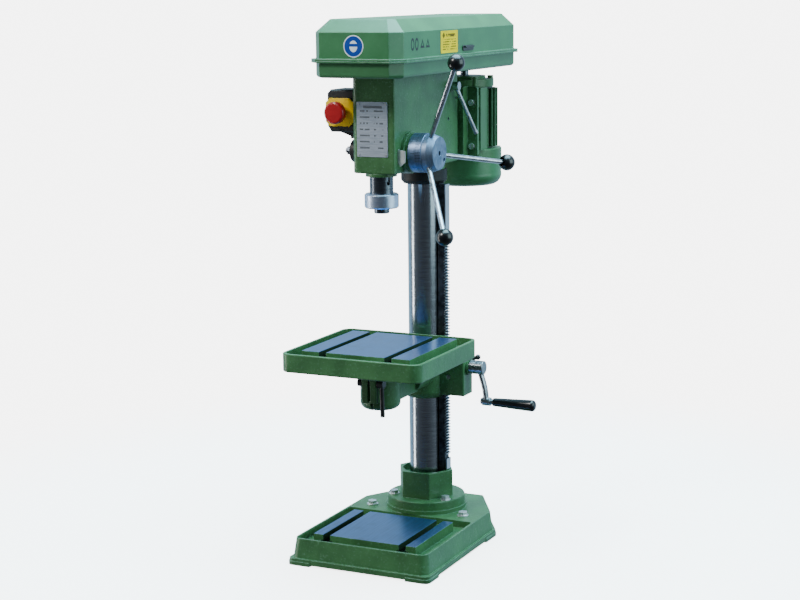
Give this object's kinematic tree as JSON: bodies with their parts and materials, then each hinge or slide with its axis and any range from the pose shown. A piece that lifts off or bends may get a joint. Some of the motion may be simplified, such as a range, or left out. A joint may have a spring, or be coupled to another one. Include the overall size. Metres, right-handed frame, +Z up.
{
  "type": "pillar drill press",
  "caption": "Bench pillar drill: round column on a T-slotted base, belt head with three-arm quill feed, rack-lifted tilting table, stop switch and vertical motor.",
  "frame": {"origin": "on the column axis at the level of the base's feet", "axes": "+Z up along the column, -Y towards the operator and the spindle, +X towards the feed levers and the table crank"},
  "size_m": [0.412, 0.6628, 1.102],
  "materials": {
    "green_cast": "satin hammered green",
    "green_sheet": "satin green",
    "machined_top": "ground",
    "column_steel": "polished",
    "bright_steel": "polished",
    "satin_steel": "satin",
    "dark_steel": "oiled",
    "zinc_fastener": "zinc",
    "black_plastic": "gloss",
    "matt_black": "matt",
    "red_plastic": "satin",
    "yellow_plastic": "satin",
    "plate_aluminium": "satin",
    "belt_rubber": "matt",
    "cast_aluminium": "cast",
    "copper_winding": "varnished"
  },
  "bodies": {
    "frame": {"base_casting": "green_cast", "base_bolts": "zinc_fastener", "column_flange": "green_cast", "flange_bolts": "zinc_fastener", "column_tube": "column_steel", "rack_ring": "matt_black", "head_casting": "green_cast", "head_set_screws": "dark_steel", "rating_plate": "plate_aluminium", "plate_rivets": "zinc_fastener", "dial_pointer": "plate_aluminium", "pulley_pan": "green_sheet", "cover_hinge_pins": "zinc_fastener", "idler_post": "satin_steel", "pulley_bearing": "satin_steel", "spring_case": "matt_black", "return_spring": "dark_steel", "switch_box": "matt_black", "switch_cover": "matt_black", "switch_plate": "yellow_plastic", "front_belt": "belt_rubber", "rear_belt": "belt_rubber"},
    "cover": {"belt_cover": "green_sheet", "cover_hinge_leaves": "zinc_fastener"},
    "stop_button": {"stop_button": "red_plastic"},
    "motor": {"motor_plate": "green_cast", "slide_rods": "bright_steel", "motor_bolts": "zinc_fastener", "motor_housing": "green_cast", "motor_top_shield": "green_cast", "motor_lower_shield": "green_cast", "motor_fan_cover": "green_sheet", "motor_stator": "copper_winding", "terminal_box": "green_sheet"},
    "rotor": {"motor_rotor": "dark_steel", "motor_fan": "matt_black", "motor_pulley": "cast_aluminium"},
    "tension_lever": {"tension_lever": "bright_steel"},
    "idler": {"idler_pulley": "cast_aluminium"},
    "drive_sleeve": {"spindle_pulley": "cast_aluminium"},
    "quill": {"quill": "dark_steel", "quill_collar": "satin_steel", "spindle_bearings": "satin_steel"},
    "spindle": {"spindle": "dark_steel"},
    "feed_shaft": {"pinion_shaft": "dark_steel", "feed_hub": "satin_steel", "lever_rods": "bright_steel", "lever_knobs": "black_plastic"},
    "depth_dial": {"depth_dial": "satin_steel"},
    "rack": {"rack": "dark_steel"},
    "bracket": {"table_bracket": "green_cast", "tilt_bolt": "dark_steel"},
    "lift_gear": {"lift_gear": "satin_steel"},
    "crank": {"worm_shaft": "satin_steel", "crank_arm": "satin_steel"},
    "crank_grip": {"crank_grip": "black_plastic"},
    "column_clamp": {"column_clamp_lever": "matt_black"},
    "arm": {"table_arm": "green_cast"},
    "arm_clamp": {"arm_clamp_lever": "matt_black"},
    "table": {"table": "green_cast"}
  },
  "joints": [
    {"name": "cover_hinge", "type": "hinge", "parent": "frame", "child": "cover", "pos_m": [-0.1085, 0, 1.022], "axis": [0, -1, 0], "range_deg": [0, 100]},
    {"name": "stop_press", "type": "slide", "parent": "frame", "child": "stop_button", "axis": [0, 1, 0], "range_m": [0, 0.006], "stiffness_N_per_m": 600},
    {"name": "tension_swing", "type": "hinge", "parent": "frame", "child": "tension_lever", "pos_m": [0.053, 0.046, 0.956], "axis": [1, 0, 0], "range_deg": [-40, 0]},
    {"name": "motor_slide", "type": "slide", "parent": "frame", "child": "motor", "axis": [0, 1, 0], "range_m": [-0.012, 0], "deforming": ["rear_belt"]},
    {"name": "rotor_spin", "type": "hinge", "parent": "motor", "child": "rotor", "pos_m": [0, 0.215, 0.9], "axis": [0, 0, 1], "continuous": true},
    {"name": "idler_spin", "type": "hinge", "parent": "frame", "child": "idler", "pos_m": [0, 0.008, 1.02], "axis": [0, 0, 1], "continuous": true},
    {"name": "sleeve_spin", "type": "hinge", "parent": "frame", "child": "drive_sleeve", "pos_m": [0, -0.202, 1.02], "axis": [0, 0, 1], "continuous": true},
    {"name": "feed_turn", "type": "hinge", "parent": "frame", "child": "feed_shaft", "pos_m": [0, -0.164, 0.835], "axis": [1, 0, 0], "range_deg": [0, 327.4], "stiffness_Nm_per_rad": 1.2, "springref_deg": -85.94},
    {"name": "quill_slide", "type": "slide", "parent": "frame", "child": "quill", "axis": [0, 0, 1], "range_m": [-0.0801, 0]},
    {"name": "spindle_spin", "type": "hinge", "parent": "quill", "child": "spindle", "pos_m": [0, -0.202, 0.85], "axis": [0, 0, 1], "continuous": true},
    {"name": "dial_turn", "type": "hinge", "parent": "feed_shaft", "child": "depth_dial", "pos_m": [0.059, -0.164, 0.835], "axis": [1, 0, 0], "continuous": true},
    {"name": "rack_swing", "type": "hinge", "parent": "frame", "child": "rack", "pos_m": [0, 0, 0.45], "axis": [0, 0, 1], "range_deg": [-180, 180]},
    {"name": "table_lift", "type": "slide", "parent": "rack", "child": "bracket", "axis": [0, 0, 1], "range_m": [-0.1508, 0.0754]},
    {"name": "crank_turn", "type": "hinge", "parent": "bracket", "child": "crank", "pos_m": [0.11, 0, 0.368], "axis": [1, 0, 0], "range_deg": [-8641, 4321]},
    {"name": "gear_turn", "type": "hinge", "parent": "bracket", "child": "lift_gear", "pos_m": [0.064, 0, 0.347], "axis": [0, 1, 0], "range_deg": [-361, 721]},
    {"name": "grip_spin", "type": "hinge", "parent": "crank", "child": "crank_grip", "pos_m": [0.2, 0, 0.296], "axis": [1, 0, 0], "continuous": true},
    {"name": "column_clamp_turn", "type": "hinge", "parent": "bracket", "child": "column_clamp", "pos_m": [0.028, 0.058, 0.35], "axis": [1, 0, 0], "range_deg": [-60, 30]},
    {"name": "table_tilt", "type": "hinge", "parent": "bracket", "child": "arm", "pos_m": [0, -0.098, 0.362], "axis": [0, 1, 0], "range_deg": [-45, 45]},
    {"name": "arm_clamp_turn", "type": "hinge", "parent": "arm", "child": "arm_clamp", "pos_m": [0.025, -0.264, 0.378], "axis": [1, 0, 0], "range_deg": [-50, 0]},
    {"name": "table_turn", "type": "hinge", "parent": "arm", "child": "table", "pos_m": [0, -0.218, 0.4], "axis": [0, 0, 1], "range_deg": [-15, 15]}
  ],
  "couplings": [
    {"joint": "tension_swing", "follows": "motor_slide", "rad_per_m": 58.178},
    {"joint": "idler_spin", "follows": "rotor_spin", "ratio": 0.42647},
    {"joint": "sleeve_spin", "follows": "rotor_spin", "ratio": 0.18188},
    {"joint": "spindle_spin", "follows": "rotor_spin", "ratio": 0.18188},
    {"joint": "quill_slide", "follows": "feed_turn", "m_per_rad": -0.014},
    {"joint": "crank_turn", "follows": "table_lift", "rad_per_m": 1000},
    {"joint": "gear_turn", "follows": "table_lift", "rad_per_m": -83.333}
  ]
}
